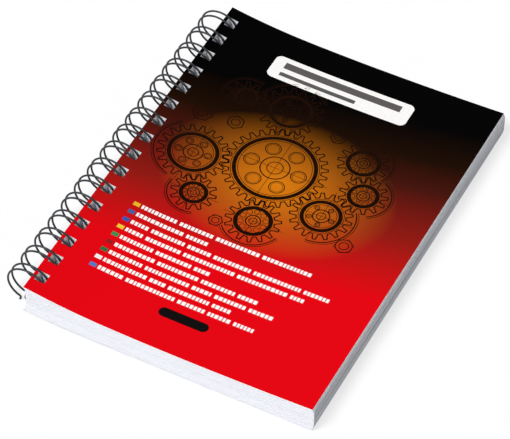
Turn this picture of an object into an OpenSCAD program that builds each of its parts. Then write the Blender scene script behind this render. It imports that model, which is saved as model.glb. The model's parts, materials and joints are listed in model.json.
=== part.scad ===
// Wire-bound manual: punched covers and leaf bundles that turn on one twin-loop wire.
// X runs from the bound edge to the fore-edge, Y along the bound edge and Z up from the table.
// The origin is on the table, in the middle of the closed book's footprint.

/* [Sheets] */
// Width of a sheet, from the bound edge to the fore-edge
sheet_w = 148; // [120:1:210]
// Length of a sheet along the bound edge
sheet_l = 210; // [148:1:297]
// Thickness of one paper leaf
leaf_t = 0.1; // [0.06:0.01:0.14]
// Leaves in a bundle that turns as one
bundle_leaves = 7; // [4:1:10]
// Number of leaf bundles
bundle_count = 18; // [8:1:24]
// Thickness of a card cover
cover_t = 0.3; // [0.2:0.05:0.5]

/* [Pile] */
// Air between the sheets at the bound edge, added up over the pile
air_spine = 3.4; // [2:0.1:5]
// Air in the pile where the sheets lie closest
air_low = 0.35; // [0.2:0.05:1]
// Air in the pile at the fore-edge
air_fore = 1.8; // [0.5:0.1:3]
// Distance from the bound edge to where the sheets lie closest
low_at = 81; // [60:1:100]
// Distance from the bound edge to where the back cover meets the table
lift_run = 43; // [30:1:58]

/* [Punching] */
// Width of a punched hole, across the bound edge
hole_w = 5.2; // [4.6:0.1:6]
// Paper left between a hole and the bound edge
edge_margin = 1.75; // [1.2:0.05:2.5]
// Clearance between the wire and a hole's sides, across the bound edge
wire_clear = 0.3; // [0.2:0.05:0.5]
// Clearance between the wires and a hole's ends, along the bound edge
end_clear = 0.5; // [0.3:0.1:1]
// Least distance from the end of the bound edge to the middle of a loop
end_margin = 6; // [5:0.5:12]

/* [Wire] */
// Diameter of the coated wire
wire_d = 1; // [0.8:0.05:1.3]
// Distance from one double loop to the next
loop_pitch = 12.7; // [10:0.1:16]
// Distance between the two wires of a loop
twin_gap = 3.8; // [3:0.1:4.5]
// How far a loop rises over the outer faces of the pile
loop_rise = 1.7; // [1.2:0.1:2.5]
// Radius of the bends from a loop to the base line
bend_r = 1; // [0.8:0.1:1.5]
// Angle of the base line round the loops, counted from the fore-edge side
seam_angle = 252; // [246:1:256]
// Gap between the closed tips and the base line
seam_gap = 0.3; // [0.2:0.05:0.6]
// Length of the cut ends after the outermost bends
stub_l = 0.5; // [0.3:0.1:2]

/* [Hidden] */
// Sides of the wire's section, and steps along a loop, its tip and its bends
wire_sides = 6;
loop_steps = 20;
tip_steps = 5;
bend_steps = 2;
// Straight steps along a sheet, where it comes down to the table and over the rest
lift_steps = 12;
flat_steps = 20;

wire_r = wire_d / 2;
bundle_t = leaf_t * bundle_leaves;
gap_count = bundle_count + 1;
pile_t = 2 * cover_t + bundle_count * bundle_t;
pile_half = (pile_t + air_spine) / 2;
loop_r = pile_half + loop_rise;
axis_z = loop_r + wire_r;
lift = axis_z - pile_half;

loop_count = floor((sheet_l - 2 * end_margin) / loop_pitch) + 1;
hole_l = twin_gap + wire_d + 2 * end_clear;
hole_slack = hole_w - wire_d - 2 * wire_clear;
cut_over = wire_d;

// Layers from the table up: 0 is the back cover, then the bundles, and last the front cover
front_layer = bundle_count + 1;
function layer_t(k) = k == 0 || k == front_layer ? cover_t : bundle_t;
function solid_below(k) = k == 0 ? 0 : cover_t + (k - 1) * bundle_t;

// Height of the back cover's underside, and air in the pile, at a distance s from the bound edge
function rise(s) = lift * pow(max(0, 1 - s / lift_run), 2);
function air(s) =
    s < low_at
        ? air_low + (air_spine - air_low) * pow((low_at - s) / low_at, 2)
        : air_low + (air_fore - air_low) * pow((s - low_at) / (sheet_w - low_at), 2);
function layer_bottom(k, s) = rise(s) + solid_below(k) + air(s) * k / gap_count;
function layer_top(k, s) = layer_bottom(k, s) + layer_t(k);

// The wire's inner side at a hole sets how far a layer's bound edge lies from the loops' axis:
// the covers hang on the outer side of their holes, and the middle leaves on the other side
seat = edge_margin + wire_clear;
function seat_height(k) =
    max(abs(layer_bottom(k, seat) - axis_z), abs(layer_top(k, seat) - axis_z));
function seat_share(k) = 1 - min(1, pow(seat_height(k) / pile_half, 2));
function edge_at(k) =
    sqrt(pow(loop_r - wire_r, 2) - pow(seat_height(k), 2)) - seat - hole_slack * seat_share(k);

reach = max([for (k = [0:front_layer]) edge_at(k)]) + sheet_w;
axis_x = (loop_r + wire_r - reach) / 2;

// Middle of each loop along the bound edge
loop_places = [for (i = [0:loop_count - 1]) (i - (loop_count - 1) / 2) * loop_pitch];

// Distances round the loops: the base line, and the straight part of a finger, which stops short of it
function degrees(distance) = distance / loop_r * 180 / PI;
base_at = seam_angle * PI / 180 * loop_r;
finger_root = base_at - bend_r;
finger_end = base_at - 2 * PI * loop_r + twin_gap / 2 + wire_d + seam_gap;

function two_digits(n) = str(n < 10 ? "0" : "", n);
function bundle_name(n) = str("leaf_bundle_", two_digits(n));

// Distances from the bound edge at which a layer's curve is drawn; the back cover lies flat on the table
function layer_steps(k) = concat(
    [for (i = [0:lift_steps]) lift_run * i / lift_steps],
    k == 0
        ? [sheet_w]
        : [for (i = [1:flat_steps]) lift_run + (sheet_w - lift_run) * i / flat_steps]
);

module layer_section(k) {
    steps = layer_steps(k);
    last = len(steps) - 1;
    under = [for (s = steps) [s, layer_bottom(k, s)]];
    over = [for (i = [last:-1:0]) [steps[i], layer_top(k, steps[i])]];
    polygon(concat(under, over));
}

// One sheet or bundle, bent as it lies in the pile, with a hole for each loop
module layer(k) {
    translate([axis_x + edge_at(k), 0, 0])
        difference() {
            rotate([90, 0, 0])
                linear_extrude(height = sheet_l, center = true)
                    layer_section(k);
            for (y = loop_places)
                translate([edge_margin, y - hole_l / 2, -cut_over])
                    cube([hole_w, hole_l, 2 * axis_z + 2 * cut_over]);
        }
}

// The wire is drawn flat, as its comb is bent: [distance round the loops, place along the axis, heading]
function bend_in(place) = [
    for (i = [0:bend_steps])
        let (turn = 90 * i / bend_steps)
            [
                finger_root + bend_r * cos(turn),
                place - twin_gap / 2 - bend_r + bend_r * sin(turn),
                90 + turn
            ]
];
function bend_out(place) = [
    for (i = [0:bend_steps])
        let (turn = 90 * i / bend_steps)
            [
                finger_root + bend_r * sin(turn),
                place + twin_gap / 2 + bend_r - bend_r * cos(turn),
                turn
            ]
];
function tip_bend(place) = [
    for (i = [0:tip_steps])
        let (turn = 180 * i / tip_steps)
            [
                finger_end - twin_gap / 2 * sin(turn),
                place - twin_gap / 2 * cos(turn),
                180 - turn
            ]
];
function straight(from, to, place, heading) = [
    for (i = [1:loop_steps - 1])
        [from + (to - from) * i / loop_steps, place, heading]
];
function finger(place) = concat(
    bend_in(place),
    straight(finger_root, finger_end, place - twin_gap / 2, 180),
    tip_bend(place),
    straight(finger_end, finger_root, place + twin_gap / 2, 0),
    bend_out(place)
);
function comb() =
    let (end_at = twin_gap / 2 + bend_r + stub_l, last = loop_places[loop_count - 1])
        concat(
            [[base_at, loop_places[0] - end_at, 90]],
            [for (place = loop_places) each finger(place)],
            [[base_at, last + end_at, 90]]
        );

// The wire's section at one point of the comb, once it is rolled round the loops' axis
function rolled_section(point) =
    let (
        angle = degrees(point[0]),
        outward = [cos(angle), sin(angle), 0],
        along = cos(point[2]) * [-sin(angle), cos(angle), 0] + sin(point[2]) * [0, 0, 1],
        across = cross(along, outward),
        middle = loop_r * outward + [0, 0, point[1]]
    )
        [
            for (j = [0:wire_sides - 1])
                let (turn = 360 * j / wire_sides)
                    middle + wire_r * (cos(turn) * outward + sin(turn) * across)
        ];

// A closed tube over a row of sections
module tube(sections) {
    last = len(sections) - 1;
    sides = len(sections[0]);
    skin = [
        for (i = [0:last - 1], j = [0:sides - 1])
            let (a = i * sides + j, b = i * sides + (j + 1) % sides)
                each [[a, b + sides, b], [a, a + sides, b + sides]]
    ];
    start_cap = [[for (j = [0:sides - 1]) j]];
    end_cap = [[for (j = [sides - 1:-1:0]) last * sides + j]];
    polyhedron([for (section = sections) each section], concat(skin, start_cap, end_cap));
}

module twin_loop_wire() {
    color("#3a3d42")
        translate([axis_x, 0, axis_z])
            rotate([90, 0, 0])
                tube([for (point = comb()) rolled_section(point)]);
}

module back_cover() {
    color("#e4e4e8")
        layer(0);
}

module leaf_bundle(n) {
    color("#f4f4f2")
        layer(n);
}

module front_cover() {
    color("#b3101a")
        layer(front_layer);
}

back_cover();
for (n = [1:bundle_count])
    leaf_bundle(n);
front_cover();
twin_loop_wire();
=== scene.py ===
import json
import math
import random

import bpy
import numpy as np
from mathutils import Matrix, Vector


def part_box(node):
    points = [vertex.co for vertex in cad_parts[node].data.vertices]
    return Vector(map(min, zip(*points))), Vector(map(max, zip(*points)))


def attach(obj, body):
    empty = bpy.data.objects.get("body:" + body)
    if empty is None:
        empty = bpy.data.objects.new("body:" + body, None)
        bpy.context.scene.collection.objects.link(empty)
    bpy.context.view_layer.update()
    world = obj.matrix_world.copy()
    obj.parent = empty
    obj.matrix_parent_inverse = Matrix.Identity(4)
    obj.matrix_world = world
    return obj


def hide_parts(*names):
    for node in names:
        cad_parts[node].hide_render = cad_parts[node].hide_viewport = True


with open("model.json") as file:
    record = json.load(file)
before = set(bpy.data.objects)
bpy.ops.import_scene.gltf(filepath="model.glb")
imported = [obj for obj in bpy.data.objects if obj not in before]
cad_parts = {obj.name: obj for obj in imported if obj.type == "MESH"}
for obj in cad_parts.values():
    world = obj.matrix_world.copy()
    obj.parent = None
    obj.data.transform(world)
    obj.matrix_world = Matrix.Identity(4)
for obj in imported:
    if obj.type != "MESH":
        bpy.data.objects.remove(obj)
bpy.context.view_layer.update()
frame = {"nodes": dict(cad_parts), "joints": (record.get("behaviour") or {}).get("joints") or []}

MM = 0.001
RANDOM_SEED = 7
seeded = random.Random(RANDOM_SEED)

# Sheets and punching, as in the solids
LEAVES_PER_BUNDLE = 7
LEAF_T = 0.1 * MM
EDGE_MARGIN = 1.75 * MM
HOLE_W = 5.2 * MM
HOLE_L = 5.8 * MM

# How unevenly the leaves lie, and the largest share of its room that a leaf fills
LEAF_SCATTER = 0.05 * MM
LEAF_FILL = 0.78

# Twin-loop wire, as in the solids
WIRE_R = 0.5 * MM
LOOP_PITCH = 12.7 * MM
LOOP_COUNT = 16
TWIN_GAP = 3.8 * MM
BEND_R = 1.0 * MM
SEAM_ANGLE = math.radians(252)
SEAM_GAP = 0.3 * MM
STUB_L = 0.5 * MM

LOOP_PLACES = [(i - (LOOP_COUNT - 1) / 2) * LOOP_PITCH for i in range(LOOP_COUNT)]
AXIS = Vector(frame["joints"][0]["pos_m"])
LOOP_R = AXIS.z - WIRE_R

# Camera, fitted to the cover's edges and the loops in the photograph, which is IMAGE_W pixels wide
IMAGE_W = 510
FOCAL_PX = 3300.0
SENSOR_W = 36.0
CAM_AZIMUTH = math.radians(25.404)
CAM_ELEVATION = math.radians(47.455)
CAM_ROLL = math.radians(2.033)
CAM_TARGET = Vector((2.618, -8.495, 8.0)) * MM
CAM_DISTANCE = 1558.9 * MM
CAM_CLIP_END = 20.0


# Small helpers for meshes and materials

SHEET_SMOOTH = math.radians(40)
WIRE_SMOOTH = math.radians(50)


def add_object(name, verts, faces, materials, face_slots=None, smooth_angle=None):
    mesh = bpy.data.meshes.new(name)
    mesh.from_pydata([tuple(v) for v in verts], [], faces)
    for material in materials:
        mesh.materials.append(material)
    if face_slots is not None:
        mesh.polygons.foreach_set("material_index", face_slots)
    if smooth_angle is not None:
        mesh.polygons.foreach_set("use_smooth", [True] * len(mesh.polygons))
        mesh.set_sharp_from_angle(angle=smooth_angle)
    mesh.update()
    obj = bpy.data.objects.new(name, mesh)
    bpy.context.scene.collection.objects.link(obj)
    return obj


def srgb(r, g, b):
    """A colour given as 0 to 255, as seen on screen, in the linear values that shaders take."""
    def linear(c):
        c /= 255
        return c / 12.92 if c <= 0.04045 else ((c + 0.055) / 1.055) ** 2.4
    return (linear(r), linear(g), linear(b), 1.0)


class Shader:
    """A material's node tree, with short calls for the nodes used here."""

    def __init__(self, name, roughness, specular):
        self.material = bpy.data.materials.new(name)
        self.material.use_nodes = True
        self.tree = self.material.node_tree
        self.bsdf = self.tree.nodes["Principled BSDF"]
        self.bsdf.inputs["Roughness"].default_value = roughness
        self.bsdf.inputs["Specular IOR Level"].default_value = specular

    def node(self, kind, **settings):
        made = self.tree.nodes.new(kind)
        for key, value in settings.items():
            setattr(made, key, value)
        return made

    def link(self, source, target):
        self.tree.links.new(source, target)

    def feed(self, socket, value):
        if isinstance(value, bpy.types.NodeSocket):
            self.link(value, socket)
        else:
            socket.default_value = value

    def axes(self, kind):
        """The X, Y and Z outputs of a texture coordinate."""
        made = self.node("ShaderNodeSeparateXYZ")
        self.link(self.node("ShaderNodeTexCoord").outputs[kind], made.inputs["Vector"])
        return made.outputs

    def noise(self, scale, detail, stretch=(1, 1, 1)):
        mapping = self.node("ShaderNodeMapping")
        mapping.inputs["Scale"].default_value = stretch
        self.link(self.node("ShaderNodeTexCoord").outputs["Object"], mapping.inputs["Vector"])
        made = self.node("ShaderNodeTexNoise")
        made.inputs["Scale"].default_value = scale
        made.inputs["Detail"].default_value = detail
        self.link(mapping.outputs["Vector"], made.inputs["Vector"])
        return made.outputs["Fac"]

    def math(self, operation, a, b=0.0, clamp=False):
        made = self.node("ShaderNodeMath", operation=operation, use_clamp=clamp)
        self.feed(made.inputs[0], a)
        self.feed(made.inputs[1], b)
        return made.outputs[0]

    def ramp(self, factor, stops):
        made = self.node("ShaderNodeValToRGB")
        elements = made.color_ramp.elements
        while len(elements) < len(stops):
            elements.new(0.5)
        for element, (place, colour) in zip(elements, stops):
            element.position = place
            element.color = colour
        self.link(factor, made.inputs["Fac"])
        return made.outputs["Color"]

    def tones(self, factor, dark, pale, low=0.3, high=0.7):
        """From the dark to the pale colour while the factor goes from low to high."""
        return self.ramp(factor, [(low, dark), (high, pale)])

    def mix(self, factor, a, b):
        made = self.node("ShaderNodeMix", data_type="RGBA")
        self.feed(made.inputs["Factor"], factor)
        self.feed(made.inputs["A"], a)
        self.feed(made.inputs["B"], b)
        return made.outputs["Result"]

    def colour(self, value):
        self.feed(self.bsdf.inputs["Base Color"], value)

    def vary_roughness(self, factor, low, high):
        spread = self.node("ShaderNodeMapRange")
        spread.inputs["To Min"].default_value = low
        spread.inputs["To Max"].default_value = high
        self.link(factor, spread.inputs["Value"])
        self.link(spread.outputs["Result"], self.bsdf.inputs["Roughness"])

    def bump(self, height, strength, distance):
        made = self.node("ShaderNodeBump")
        made.inputs["Strength"].default_value = strength
        made.inputs["Distance"].default_value = distance
        self.link(height, made.inputs["Height"])
        self.link(made.outputs["Normal"], self.bsdf.inputs["Normal"])


# Materials

def paper_material():
    cloud_share = 0.1
    s = Shader("white_paper", roughness=0.8, specular=0.2)
    fibres = s.noise(scale=2600, detail=4.0)
    cloud = s.noise(scale=220, detail=3.0)
    tone = s.tones(fibres, srgb(233, 233, 236), srgb(246, 246, 248))
    s.colour(s.mix(s.math("MULTIPLY", cloud, cloud_share), tone, srgb(224, 224, 229)))
    s.bump(fibres, strength=0.15, distance=0.03 * MM)
    return s.material


def page_edge_material():
    """Cut edges of the leaves: their lines show most at the fore-edge, where the leaves fan out. The
    lines' dark colour is painted shade between the leaves.
    """
    wide_share = 0.7
    least_lines = 0.25
    fibre_share = 0.12
    s = Shader("cut_page_edges", roughness=0.85, specular=0.15)
    fine_lines = s.noise(scale=1.0, detail=2.0, stretch=(25, 25, 5200))
    wide_lines = s.noise(scale=1.0, detail=2.0, stretch=(4, 4, 860))
    lines = s.mix(wide_share, fine_lines, wide_lines)
    fibres = s.noise(scale=2600, detail=3.0)
    # The dark colour of the lines is painted shade in the gaps between the leaves, bluish like shade.
    lines_painted_shade = s.tones(lines, srgb(168, 172, 186), srgb(245, 249, 254), low=0.36, high=0.52)
    # Faces along X, as the fore-edge, take the full painted shade of the lines; the head and foot take
    # less.
    facing_x = s.math("ABSOLUTE", s.axes("Normal")["X"])
    share = s.math("ADD", s.math("MULTIPLY", facing_x, 1 - least_lines), least_lines)
    tone = s.mix(share, srgb(224, 226, 233), lines_painted_shade)
    s.colour(s.mix(s.math("MULTIPLY", fibres, fibre_share), tone, srgb(226, 226, 231)))
    s.bump(lines, strength=0.2, distance=0.04 * MM)
    return s.material


def core_material():
    s = Shader("cut_card_edge", roughness=0.85, specular=0.2)
    grain = s.noise(scale=1800, detail=3.0)
    s.colour(s.tones(grain, srgb(226, 224, 224), srgb(250, 249, 249)))
    s.bump(grain, strength=0.2, distance=0.03 * MM)
    return s.material


def back_card_material():
    s = Shader("white_card", roughness=0.7, specular=0.25)
    grain = s.noise(scale=3200, detail=4.0)
    s.colour(s.tones(grain, srgb(224, 224, 229), srgb(235, 235, 239)))
    s.vary_roughness(grain, low=0.62, high=0.78)
    s.bump(grain, strength=0.12, distance=0.02 * MM)
    return s.material


def wire_material():
    s = Shader("nylon_coated_wire", roughness=0.35, specular=0.3)
    mottle = s.noise(scale=900, detail=3.0)
    s.colour(s.tones(mottle, srgb(32, 35, 40), srgb(46, 49, 55)))
    s.vary_roughness(mottle, low=0.3, high=0.45)
    s.bump(mottle, strength=0.1, distance=0.02 * MM)
    return s.material


# Inks and print reflect little, so that their blacks stay black under the white studio
INK_SPECULAR = 0.012


def ink_material(name, colour):
    paler_by = 1.1
    s = Shader(name, roughness=0.45, specular=INK_SPECULAR)
    mottle = s.noise(scale=1500, detail=2.0)
    r, g, b, _ = colour
    paler = (r * paler_by, g * paler_by, b * paler_by, 1.0)
    s.colour(s.tones(mottle, colour, paler, low=0.35, high=0.65))
    s.vary_roughness(mottle, low=0.4, high=0.5)
    return s.material


# The print fades from red at the foot to black at the head: heights over the foot in mm, and colours.
# The fade leans across the cover, and an oval glow lies in its middle.
FADE_LEAN = 0.167
FADE_STOPS = [
    (60, (227, 7, 19)),
    (100, (146, 26, 20)),
    (135, (68, 21, 13)),
    (155, (27, 11, 2)),
    (178, (0, 0, 0)),
]
GLOW_AT = (72.0, 116.5)
GLOW_REACH = (60.0, 45.0)
GLOW_FALL = 1.1
GLOW_COLOUR = (217, 124, 16)


def print_material(left, foot, width, length):
    """Cover print: left and foot are the sheet's corner in metres, width and length its sides."""
    s = Shader("cover_print", roughness=0.42, specular=INK_SPECULAR)
    place = s.axes("Object")
    across = s.math("DIVIDE", s.math("SUBTRACT", place["X"], left), MM)
    up = s.math("DIVIDE", s.math("SUBTRACT", place["Y"], foot), MM)
    lean = s.math("MULTIPLY", s.math("SUBTRACT", across, width / 2 / MM), -FADE_LEAN)
    fade = s.math("DIVIDE", s.math("ADD", up, lean), length / MM)
    ground = s.ramp(fade, [(at * MM / length, srgb(*colour)) for at, colour in FADE_STOPS])
    dx = s.math("DIVIDE", s.math("SUBTRACT", across, GLOW_AT[0]), GLOW_REACH[0])
    dy = s.math("DIVIDE", s.math("SUBTRACT", up, GLOW_AT[1]), GLOW_REACH[1])
    squares = s.math("ADD", s.math("MULTIPLY", dx, dx), s.math("MULTIPLY", dy, dy))
    inside = s.math("SUBTRACT", 1.0, s.math("SQRT", squares), clamp=True)
    s.colour(s.mix(s.math("POWER", inside, GLOW_FALL), ground, srgb(*GLOW_COLOUR)))
    s.vary_roughness(s.noise(scale=90, detail=4.0), low=0.36, high=0.48)
    s.bump(s.noise(scale=2400, detail=2.0), strength=0.05, distance=0.02 * MM)
    return s.material


# Sheets

# Points of a solid that lie closer than this are one place, and its places are read to the micrometre
SAME_PLACE = 0.005 * MM
METRE_DIGITS = 6
# Least distance from a hole to the next line across the sheet
STATION_CLEAR = 1.0 * MM
# Material slots of a sheet's faces
UPPER, UNDER, RIM = range(3)


def layer_curve(node):
    """A layer's stations across the sheet, with the heights of its underside and upper side there."""
    points = np.array([v.co for v in frame["nodes"][node].data.vertices])
    end = points[points[:, 1] < points[:, 1].min() + SAME_PLACE]
    stations = np.unique(np.round(end[:, 0], METRE_DIGITS))
    columns = [end[np.abs(end[:, 0] - x) < SAME_PLACE, 2] for x in stations]
    low = np.array([c.min() for c in columns])
    high = np.array([c.max() for c in columns])
    return stations, low, high


def y_lines(half_length):
    """Lines along the sheet's edge: its two ends and both ends of every hole."""
    lines = [-half_length]
    for y in LOOP_PLACES:
        lines += [y - HOLE_L / 2, y + HOLE_L / 2]
    return lines + [half_length]


def punched_sheet(stations, low, high, half_length, shift=(0.0, 0.0)):
    """Vertices, faces and material slots of one closed, punched sheet with its stations' heights."""
    left = stations[0]
    hole_sides = [left + EDGE_MARGIN, left + EDGE_MARGIN + HOLE_W]
    after = [x for x in stations if x > hole_sides[1] + STATION_CLEAR]
    xs = [left, *hole_sides, *after]
    ys = y_lines(half_length)
    last_x = len(xs) - 1
    last_y = len(ys) - 1
    verts = []
    index = {}

    def vert(i, j, upper):
        key = (i, j, upper)
        if key not in index:
            index[key] = len(verts)
            z = float(np.interp(xs[i], stations, high if upper else low))
            verts.append((xs[i] + shift[0], ys[j] + shift[1], z))
        return index[key]

    # Columns 0 to 3 are the bound edge, both sides of the holes and the next station; odd rows are holes.
    # The outlines are the strip before the holes, the bridges between them and the rest of the sheet.
    outlines = []
    for j in range(last_y):
        outlines.append([(0, j), (1, j), (1, j + 1), (0, j + 1)])
        if j % 2 == 0:
            outlines.append([(1, j), (2, j), (2, j + 1), (1, j + 1)])
    inner = [(2, j) for j in range(last_y, -1, -1)]
    outlines.append([(3, 0), (3, last_y), *inner])
    for i in range(3, last_x):
        outlines.append([(i, 0), (i + 1, 0), (i + 1, last_y), (i, last_y)])
    faces = [[vert(i, j, True) for i, j in o] for o in outlines]
    faces += [[vert(i, j, False) for i, j in reversed(o)] for o in outlines]
    slots = [UPPER] * len(outlines) + [UNDER] * len(outlines)

    def wall(a, b):
        faces.append([vert(*a, False), vert(*b, False), vert(*b, True), vert(*a, True)])
        slots.append(RIM)

    for i in range(last_x):
        wall((i, 0), (i + 1, 0))
        wall((i + 1, last_y), (i, last_y))
    wall((last_x, 0), (last_x, last_y))
    for j in range(last_y):
        wall((0, j + 1), (0, j))
        if j % 2 == 1:
            wall((1, j), (1, j + 1))
            wall((2, j + 1), (2, j))
            wall((2, j), (1, j))
            wall((1, j + 1), (2, j + 1))
    return verts, faces, slots


def leaf_bundle(number, next_node, paper, page_edge):
    """The single leaves of one bundle, spread over the room up to the next layer."""
    node = f"leaf_bundle_{number:02d}"
    stations, low, _ = layer_curve(node)
    next_stations, next_low, _ = layer_curve(next_node)
    leaf_room = (np.interp(stations, next_stations, next_low) - low) / LEAVES_PER_BUNDLE
    half_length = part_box(node)[1].y
    verts = []
    faces = []
    slots = []
    for i in range(LEAVES_PER_BUNDLE):
        under = low + leaf_room * i
        over = under + np.minimum(LEAF_T, LEAF_FILL * leaf_room)
        shift = (seeded.gauss(0, LEAF_SCATTER), seeded.gauss(0, LEAF_SCATTER))
        leaf_verts, leaf_faces, leaf_slots = punched_sheet(stations, under, over, half_length, shift)
        base = len(verts)
        verts += leaf_verts
        faces += [[base + v for v in f] for f in leaf_faces]
        slots += leaf_slots
    materials = [paper, paper, page_edge]
    piece = add_object(f"paper_leaves_{number:02d}", verts, faces, materials, slots, SHEET_SMOOTH)
    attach(piece, f"leaves_{number:02d}")
    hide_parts(node)


# The front cover's lower left corner, upper right corner and curve, which its inks follow
cover_low, cover_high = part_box("front_cover")
cover_curve = layer_curve("front_cover")


def printed_cover():
    cover_size = cover_high - cover_low
    upper = print_material(cover_low.x, cover_low.y, cover_size.x, cover_size.y)
    core = core_material()
    verts, faces, slots = punched_sheet(*cover_curve, cover_high.y)
    front = add_object("printed_cover", verts, faces, [upper, core, core], slots, SHEET_SMOOTH)
    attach(front, "front")
    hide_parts("front_cover")


# Wire

LOOP_STEPS = 56
TIP_STEPS = 14
BEND_STEPS = 6
WIRE_SIDES = 14
QUARTER = math.pi / 2


def flat_comb():
    """The wire before it is rolled: distance round the loops, place along the axis, heading."""
    base = SEAM_ANGLE * LOOP_R
    root = base - BEND_R
    end = base - 2 * math.pi * LOOP_R + TWIN_GAP / 2 + 2 * WIRE_R + SEAM_GAP
    half = TWIN_GAP / 2
    ends_at = half + BEND_R + STUB_L
    bend_turns = [QUARTER * i / BEND_STEPS for i in range(BEND_STEPS + 1)]
    tip_turns = [math.pi * i / TIP_STEPS for i in range(TIP_STEPS + 1)]
    shares = [i / LOOP_STEPS for i in range(1, LOOP_STEPS)]
    path = [(base, LOOP_PLACES[0] - ends_at, QUARTER)]
    for place in LOOP_PLACES:
        first = place - half
        second = place + half
        for t in bend_turns:
            along = first - BEND_R + BEND_R * math.sin(t)
            path.append((root + BEND_R * math.cos(t), along, QUARTER + t))
        path += [(root + (end - root) * share, first, math.pi) for share in shares]
        for t in tip_turns:
            path.append((end - half * math.sin(t), place - half * math.cos(t), math.pi - t))
        path += [(end + (root - end) * share, second, 0.0) for share in shares]
        for t in bend_turns:
            along = second + BEND_R - BEND_R * math.cos(t)
            path.append((root + BEND_R * math.sin(t), along, t))
    path.append((base, LOOP_PLACES[-1] + ends_at, QUARTER))
    return path


def wire_piece():
    verts = []
    faces = []
    path = flat_comb()
    for distance, place, heading in path:
        angle = distance / LOOP_R
        outward = Vector((math.cos(angle), 0, math.sin(angle)))
        around = Vector((-math.sin(angle), 0, math.cos(angle)))
        along = around * math.cos(heading) + Vector((0, -1, 0)) * math.sin(heading)
        across = along.cross(outward)
        middle = AXIS + outward * LOOP_R + Vector((0, -place, 0))
        for j in range(WIRE_SIDES):
            t = 2 * math.pi * j / WIRE_SIDES
            verts.append(middle + (outward * math.cos(t) + across * math.sin(t)) * WIRE_R)
    last = len(path) - 1
    for i in range(last):
        for j in range(WIRE_SIDES):
            a = i * WIRE_SIDES + j
            b = i * WIRE_SIDES + (j + 1) % WIRE_SIDES
            faces.append([a, b, b + WIRE_SIDES, a + WIRE_SIDES])
    faces.append(list(range(WIRE_SIDES - 1, -1, -1)))
    faces.append([last * WIRE_SIDES + j for j in range(WIRE_SIDES)])
    piece = add_object("bound_wire", verts, faces, [wire_material()], None, WIRE_SMOOTH)
    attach(piece, "binding")
    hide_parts("twin_loop_wire")


# Inks on the cover: thin films that follow its curve, drawn in mm from its left edge and its foot

INK_SINK = 0.01
INK_T = 0.02
UPPER_INK_T = 0.03
# Longest steps along a line, a round and a filled bar, fewest steps of a round, and steps of a corner
LINE_STEP = 1.6
ROUND_STEP = 1.2
BAR_STEP = 3.0
RING_STEPS = 16
ARC_STEPS = 8
CORNER_STEPS = 8
# A mitred corner is at most this many times as wide as its line
MITRE_LIMIT = 2.0


def polar(u, v, radius, turn):
    return (u + radius * math.cos(turn), v + radius * math.sin(turn))


def full_turn(count, start=0.0):
    return [start + 2 * math.pi * i / count for i in range(count)]


def direction(start, end):
    return Vector((end[0] - start[0], end[1] - start[1])).normalized()


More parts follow.
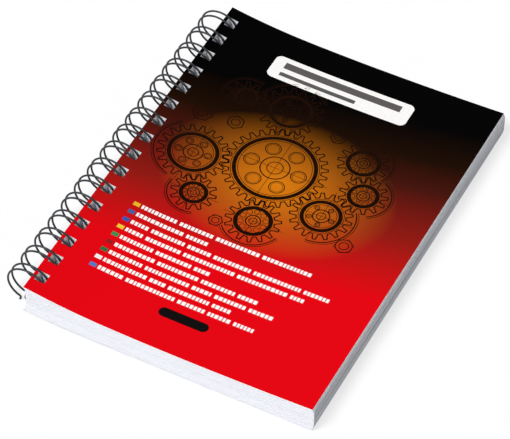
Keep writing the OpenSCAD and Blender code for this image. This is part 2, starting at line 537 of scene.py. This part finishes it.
class Ink:
    """One ink's films, each a closed strip between pairs of points (u, v)."""

    def __init__(self, name, material, thickness=INK_T):
        self.name = name
        self.material = material
        self.thickness = thickness
        self.verts = []
        self.faces = []

    def film(self, pairs, closed=False):
        """A strip along the pairs, each with its right-hand point first: four vertices, low and high."""
        stations, _, high = cover_curve
        base = len(self.verts)
        for pair in pairs:
            for u, v in pair:
                x = cover_low.x + u * MM
                y = cover_low.y + v * MM
                z = float(np.interp(x, stations, high))
                self.verts.append((x, y, z - INK_SINK * MM))
                self.verts.append((x, y, z + self.thickness * MM))
        count = len(pairs)
        rows = range(count) if closed else range(count - 1)
        for i in rows:
            a = base + 4 * i
            b = base + 4 * ((i + 1) % count)
            self.faces.append([a + 1, b + 1, b + 3, a + 3])
            self.faces.append([a, a + 2, b + 2, b])
            self.faces.append([a, b, b + 1, a + 1])
            self.faces.append([a + 2, a + 3, b + 3, b + 2])
        if not closed:
            end = base + 4 * (count - 1)
            self.faces.append([base, base + 1, base + 3, base + 2])
            self.faces.append([end, end + 2, end + 3, end + 1])

    def line(self, points, width, closed=False):
        """A line of an even width along points, with mitred corners."""
        fine = []
        ends = points[1:] + points[:1] if closed else points[1:]
        for (ua, va), (ub, vb) in zip(points, ends):
            steps = max(1, math.ceil(math.hypot(ub - ua, vb - va) / LINE_STEP))
            fine += [(ua + (ub - ua) * i / steps, va + (vb - va) * i / steps) for i in range(steps)]
        if not closed:
            fine.append(points[-1])
        last = len(fine) - 1
        pairs = []
        for i, (u, v) in enumerate(fine):
            into = direction(fine[i - 1], fine[i]) if closed or i > 0 else direction(fine[0], fine[1])
            onward = direction(fine[i], fine[(i + 1) % len(fine)]) if closed or i < last else into
            middle = (into + onward).normalized()
            side = Vector((-middle.y, middle.x))
            reach = width / 2 / max(1 / MITRE_LIMIT, middle.dot(onward))
            pairs.append((
                (u - side.x * reach, v - side.y * reach),
                (u + side.x * reach, v + side.y * reach),
            ))
        self.film(pairs, closed)

    def band(self, u, v, radius, width, turns, closed=False):
        inner = radius - width / 2
        outer = radius + width / 2
        self.film([(polar(u, v, outer, t), polar(u, v, inner, t)) for t in turns], closed)

    def ring(self, u, v, radius, width):
        steps = max(RING_STEPS, math.ceil(2 * math.pi * radius / ROUND_STEP))
        self.band(u, v, radius, width, full_turn(steps), closed=True)

    def arc(self, u, v, radius, width, start, end):
        steps = max(ARC_STEPS, math.ceil(radius * (end - start) / ROUND_STEP))
        self.band(u, v, radius, width, [start + (end - start) * i / steps for i in range(steps + 1)])

    def block(self, u, v, length, height):
        """A filled bar whose left end is at u and whose middle line is at v."""
        steps = max(1, math.ceil(length / BAR_STEP))
        places = [u + length * i / steps for i in range(steps + 1)]
        self.film([((p, v - height / 2), (p, v + height / 2)) for p in places])

    def plate(self, u, v, length, height, radius):
        """A filled bar with round corners, given by its middle."""
        corner_u = u - length / 2 + radius
        corner_h = height / 2 - radius
        turns = [QUARTER * i / CORNER_STEPS for i in range(1, CORNER_STEPS)]
        left = [(corner_u - radius * math.cos(t), corner_h + radius * math.sin(t)) for t in turns]
        level = length - 2 * radius
        steps = max(1, math.ceil(level / BAR_STEP))
        middle = [(corner_u + level * i / steps, height / 2) for i in range(steps + 1)]
        right = [(2 * u - p, h) for p, h in reversed(left)]
        self.film([((p, v - h), (p, v + h)) for p, h in left + middle + right])

    def finish(self):
        piece = add_object(self.name, self.verts, self.faces, [self.material])
        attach(piece, "front")


# Line drawing on the cover: a gear train with nuts beside it, in mm

BOLD = 0.6
MEDIUM = 0.45
FINE = 0.3
HAIR = 0.22

# Teeth: the tip's height and the root's depth in modules, their half widths as shares of the pitch
TOOTH_MODULE = 1.6
TIP_HEIGHT = 0.9
ROOT_DEPTH = 1.1
TIP_HALF = 0.13
ROOT_HALF = 0.30

# The first gear's place and teeth, then each gear's driver, its direction from there and its teeth
FIRST_GEAR = (66.0, 126.0, 30)
MESHED_GEARS = [
    (0, -28, 17),
    (1, 60, 13),
    (0, 195, 20),
    (3, -62, 12),
    (0, -80, 15),
    (0, 105, 18),
    (6, 185, 11),
    (2, 115, 14),
]

# Inside a gear: lines inside its root, its hub and bore, and its centre lines' reach past the teeth
ROOT_LINE_IN = 0.9
HUB_SHARE = 0.3
BORE_SHARE = 0.55
CENTRE_LINE_OUT = 3.5

# Gears of this many teeth have a broad rim and a web with holes, and the largest have more holes.
# Shares are of the web's width or of a hole's room
LARGE_GEAR = 17
WEB_HOLES = 5
LARGEST_GEAR = 20
LARGEST_WEB_HOLES = 6
RIM_BAND_IN = 2.6
RIM_BAND_W = 2.0
WEB_IN = 4.4
HOLE_SHARE = 0.36
HOLE_ROOM_SHARE = 0.8
HOLE_LINE_IN = 0.8

# A small gear has a plain rim and a row of balls round its hub
SMALL_RIM_IN = 1.9
SMALL_RIM_W = 1.8
BALL_SHARE = 0.3
BALL_SPACING = 2.5

# The casing's double line round the outer gears
CASING_GAP = 1.7
CASING_LINES_APART = 1.1
CASING_SPAN = math.radians(62)

# Nuts: place, radius and turn in degrees; the chamfer's and the bore's share of the radius
NUTS = [
    (19.5, 140.5, 5.2, 12),
    (117.0, 96.0, 4.6, 24),
    (56.5, 82.5, 3.6, 5),
    (84.0, 158.5, 4.2, 17),
    (36.0, 143.5, 4.4, 38),
]
NUT_SIDES = 6
NUT_CHAMFER = 0.84
NUT_BORE = 0.5


def gear_train():
    """Every gear as (u, v, teeth, phase), with its teeth in the gaps of the gear that it meshes with."""
    u, v, teeth = FIRST_GEAR
    gears = [(u, v, teeth, 0.0)]
    for driver, degrees, teeth in MESHED_GEARS:
        u, v, driver_teeth, phase = gears[driver]
        angle = math.radians(degrees)
        apart = TOOTH_MODULE * (driver_teeth + teeth) / 2
        share = (0.5 - (angle - phase) * driver_teeth / (2 * math.pi)) % 1.0
        own_phase = angle + math.pi - share * 2 * math.pi / teeth
        gears.append((*polar(u, v, apart, angle), teeth, own_phase))
    return gears


def tip_radius(teeth):
    return TOOTH_MODULE * (teeth / 2 + TIP_HEIGHT)


def root_radius(teeth):
    return TOOTH_MODULE * (teeth / 2 - ROOT_DEPTH)


def gear_outline(u, v, teeth, phase):
    pitch = 2 * math.pi / teeth
    tip = tip_radius(teeth)
    root = root_radius(teeth)
    profile = ((-ROOT_HALF, root), (-TIP_HALF, tip), (TIP_HALF, tip), (ROOT_HALF, root))
    middles = full_turn(teeth, phase)
    return [polar(u, v, radius, m + turn * pitch) for m in middles for turn, radius in profile]


def draw_web(ink, u, v, teeth, phase, hub):
    """The rim and the holes of a large gear."""
    root = root_radius(teeth)
    rim = root - WEB_IN
    ink.ring(u, v, root - RIM_BAND_IN, RIM_BAND_W)
    ink.ring(u, v, rim, FINE)
    holes = LARGEST_WEB_HOLES if teeth >= LARGEST_GEAR else WEB_HOLES
    hole_at = (rim + hub) / 2
    hole_room = hole_at * math.sin(math.pi / holes)
    hole_r = min(HOLE_SHARE * (rim - hub), HOLE_ROOM_SHARE * hole_room)
    for turn in full_turn(holes, phase):
        place = polar(u, v, hole_at, turn)
        ink.ring(*place, hole_r, MEDIUM)
        ink.ring(*place, hole_r - HOLE_LINE_IN, HAIR)


def draw_bearing(ink, u, v, teeth, phase, hub):
    """The rim and the balls of a small gear."""
    rim = root_radius(teeth) - SMALL_RIM_IN
    ink.ring(u, v, rim, SMALL_RIM_W)
    track = (rim + hub) / 2
    ball_r = BALL_SHARE * (rim - hub)
    balls = math.floor(2 * math.pi * track / (BALL_SPACING * ball_r))
    for turn in full_turn(balls, phase):
        ink.ring(*polar(u, v, track, turn), ball_r, FINE)


def draw_gear(ink, u, v, teeth, phase):
    pitch_r = TOOTH_MODULE * teeth / 2
    hub = HUB_SHARE * pitch_r
    ink.line(gear_outline(u, v, teeth, phase), BOLD, closed=True)
    ink.ring(u, v, root_radius(teeth) - ROOT_LINE_IN, FINE)
    ink.ring(u, v, hub, BOLD)
    ink.ring(u, v, BORE_SHARE * hub, MEDIUM)
    draw_inside = draw_web if teeth >= LARGE_GEAR else draw_bearing
    draw_inside(ink, u, v, teeth, phase, hub)
    reach = pitch_r + CENTRE_LINE_OUT
    ink.line([(u - reach, v), (u + reach, v)], HAIR)
    ink.line([(u, v - reach), (u, v + reach)], HAIR)


def draw_casing(ink, middle, gear):
    """A double line round the side of a gear that faces away from the middle of the train."""
    u, v, teeth, _ = gear
    outward = math.atan2(v - middle[1], u - middle[0])
    start = outward - CASING_SPAN
    end = outward + CASING_SPAN
    radius = tip_radius(teeth) + CASING_GAP
    ink.arc(u, v, radius, BOLD, start, end)
    ink.arc(u, v, radius + CASING_LINES_APART, FINE, start, end)


def draw_nut(ink, u, v, radius, degrees):
    corners = full_turn(NUT_SIDES, math.radians(degrees))
    ink.line([polar(u, v, radius, turn) for turn in corners], MEDIUM, closed=True)
    ink.ring(u, v, NUT_CHAMFER * radius, HAIR)
    ink.ring(u, v, NUT_BORE * radius, MEDIUM)


def line_art():
    dark = Ink("line_art", ink_material("line_ink", srgb(26, 10, 4)))
    train = gear_train()
    for gear in train:
        draw_gear(dark, *gear)
    for gear in train[1:]:
        draw_casing(dark, FIRST_GEAR, gear)
    for nut in NUTS:
        draw_nut(dark, *nut)
    dark.finish()


# Rows of plain blocks, from the head down: where each row ends and its chip's colour, in mm

ROW_TOP = 72.4
ROW_PITCH = 5.35
ROW_LEFT = 22.8
ROW_ENDS = [112.4, 63.0, 125.8, 115.0, 69.4, 99.0, 110.0, 89.0, 102.9]
CHIP_COLOURS = [
    (230, 178, 40),
    (72, 92, 150),
    (56, 84, 170),
    (236, 196, 60),
    (60, 140, 84),
    (150, 28, 32),
    (40, 110, 70),
    (236, 236, 236),
    (84, 120, 190),
]
CHIP_LEFT = 18.4
CHIP_L = 3.4
BLOCK_H = 2.3
BLOCK_L = (1.1, 1.9)
BLOCK_GAP = 0.5
# Blocks stand in groups; a row ends where less than the least group would be left
GROUP_L = (8, 26)
GROUP_GAP = 1.3
LEAST_GROUP = 3

# The plate with its bars, and the capsule: middles, sizes, and each bar's height, length and width
PLATE_AT = (71, 187.2)
PLATE_SIZE = (75, 15.2)
PLATE_R = 3.2
BAR_LEFT = 39.5
BARS = [(189.8, 63, 4.2), (183.6, 41, 2.4)]
CAPSULE_AT = (72, 21)
CAPSULE_SIZE = (25.4, 5.4)


def draw_row(ink, v, row_end):
    u = ROW_LEFT
    while row_end - u > LEAST_GROUP:
        group_end = min(u + seeded.uniform(*GROUP_L), row_end)
        while u < group_end:
            length = seeded.uniform(*BLOCK_L)
            ink.block(u, v, length, BLOCK_H)
            u += length + BLOCK_GAP
        u += GROUP_GAP


def blocks_and_plates():
    white = Ink("white_blocks", ink_material("white_ink", srgb(244, 242, 240)))
    for row, row_end in enumerate(ROW_ENDS):
        draw_row(white, ROW_TOP - ROW_PITCH * row, row_end)
    white.plate(*PLATE_AT, *PLATE_SIZE, PLATE_R)
    white.finish()

    grey = Ink("title_plate_bars", ink_material("grey_ink", srgb(92, 88, 88)), UPPER_INK_T)
    for v, length, width in BARS:
        grey.block(BAR_LEFT, v, length, width)
    grey.finish()

    black = Ink("black_capsule", ink_material("black_ink", srgb(14, 12, 12)))
    black.plate(*CAPSULE_AT, *CAPSULE_SIZE, CAPSULE_SIZE[1] / 2)
    black.finish()

    for row, colour in enumerate(CHIP_COLOURS):
        chip = Ink(f"colour_chip_{row + 1}", ink_material(f"chip_ink_{row + 1}", srgb(*colour)))
        chip.block(CHIP_LEFT, ROW_TOP - ROW_PITCH * row, CHIP_L, BLOCK_H)
        chip.finish()


# Camera, light and floor

SUN_FROM = Vector((-0.25, -0.55, 0.80))
SUN_STRENGTH = 2.95
SUN_ANGLE = math.radians(24)
SKY_STRENGTH = 0.27
WHITE = (1, 1, 1, 1)
BACKGROUND_RAYS = ("Is Camera Ray", "Is Glossy Ray", "Is Transmission Ray")

# The floor lies just under the book. As background it is paler than the light that it throws back
FLOOR_HALF = 3.0
FLOOR_DROP = 0.05 * MM
FLOOR_DARK = (0.73, 0.73, 0.74, 1)
FLOOR_PALE = (0.75, 0.75, 0.76, 1)
FLOOR_SEEN = (0.97, 0.97, 0.98, 1)
FLOOR_GLOW = 0.72


def look_from():
    back = Vector((
        math.sin(CAM_AZIMUTH) * math.cos(CAM_ELEVATION),
        -math.cos(CAM_AZIMUTH) * math.cos(CAM_ELEVATION),
        math.sin(CAM_ELEVATION),
    ))
    level = Vector((math.cos(CAM_AZIMUTH), math.sin(CAM_AZIMUTH), 0))
    steep = back.cross(level)
    right = level * math.cos(CAM_ROLL) + steep * math.sin(CAM_ROLL)
    up = back.cross(right)
    data = bpy.data.cameras.new("camera")
    data.sensor_width = SENSOR_W
    data.lens = FOCAL_PX / IMAGE_W * SENSOR_W
    data.clip_end = CAM_CLIP_END
    camera = bpy.data.objects.new("camera", data)
    turn = Matrix((right, up, back)).transposed().to_4x4()
    camera.matrix_world = Matrix.Translation(CAM_TARGET + back * CAM_DISTANCE) @ turn
    bpy.context.scene.collection.objects.link(camera)
    bpy.context.scene.camera = camera


def background_share(tree):
    """1 for the rays that see the white background directly or in metal and glass, else 0."""
    path = tree.nodes.new("ShaderNodeLightPath")
    share = path.outputs[BACKGROUND_RAYS[0]]
    for kind in BACKGROUND_RAYS[1:]:
        either = tree.nodes.new("ShaderNodeMath")
        either.operation = "MAXIMUM"
        tree.links.new(share, either.inputs[0])
        tree.links.new(path.outputs[kind], either.inputs[1])
        share = either.outputs[0]
    return share


def sun():
    light = bpy.data.lights.new("key", "SUN")
    light.energy = SUN_STRENGTH
    light.angle = SUN_ANGLE
    key = bpy.data.objects.new("key", light)
    key.rotation_euler = SUN_FROM.to_track_quat("Z", "Y").to_euler()
    bpy.context.scene.collection.objects.link(key)


def sky():
    world = bpy.data.worlds.new("studio")
    bpy.context.scene.world = world
    world.use_nodes = True
    tree = world.node_tree
    dim = tree.nodes["Background"]
    dim.inputs["Color"].default_value = WHITE
    dim.inputs["Strength"].default_value = SKY_STRENGTH
    white = tree.nodes.new("ShaderNodeBackground")
    white.inputs["Color"].default_value = WHITE
    choose = tree.nodes.new("ShaderNodeMixShader")
    tree.links.new(background_share(tree), choose.inputs["Fac"])
    tree.links.new(dim.outputs["Background"], choose.inputs[1])
    tree.links.new(white.outputs["Background"], choose.inputs[2])
    tree.links.new(choose.outputs["Shader"], tree.nodes["World Output"].inputs["Surface"])


def floor_material():
    s = Shader("pale_floor", roughness=0.9, specular=0.0)
    pale = s.tones(s.noise(scale=30, detail=2.0), FLOOR_DARK, FLOOR_PALE)
    seen = background_share(s.tree)
    s.colour(s.mix(seen, pale, FLOOR_SEEN))
    glow = s.node("ShaderNodeEmission")
    glow.inputs["Color"].default_value = WHITE
    choose = s.node("ShaderNodeMixShader")
    s.link(s.math("MULTIPLY", seen, FLOOR_GLOW), choose.inputs["Fac"])
    s.link(s.bsdf.outputs["BSDF"], choose.inputs[1])
    s.link(glow.outputs["Emission"], choose.inputs[2])
    s.link(choose.outputs["Shader"], s.tree.nodes["Material Output"].inputs["Surface"])
    return s.material


def pale_floor():
    signs = [(-1, -1), (1, -1), (1, 1), (-1, 1)]
    corners = [(a * FLOOR_HALF, b * FLOOR_HALF, 0) for a, b in signs]
    floor = add_object("floor", corners, [[0, 1, 2, 3]], [floor_material()])
    floor.location.z = -FLOOR_DROP


# The book in the studio

look_from()
sun()
sky()
pale_floor()

bundle_count = sum(name.startswith("leaf_bundle_") for name in frame["nodes"])
paper = paper_material()
page_edge = page_edge_material()
for number in range(1, bundle_count + 1):
    above = "front_cover" if number == bundle_count else f"leaf_bundle_{number + 1:02d}"
    leaf_bundle(number, above, paper, page_edge)

wire_piece()
printed_cover()
line_art()
blocks_and_plates()

back = frame["nodes"]["back_cover"]
back.data.materials.clear()
back.data.materials.append(back_card_material())

bpy.context.scene.view_settings.view_transform = "Standard"
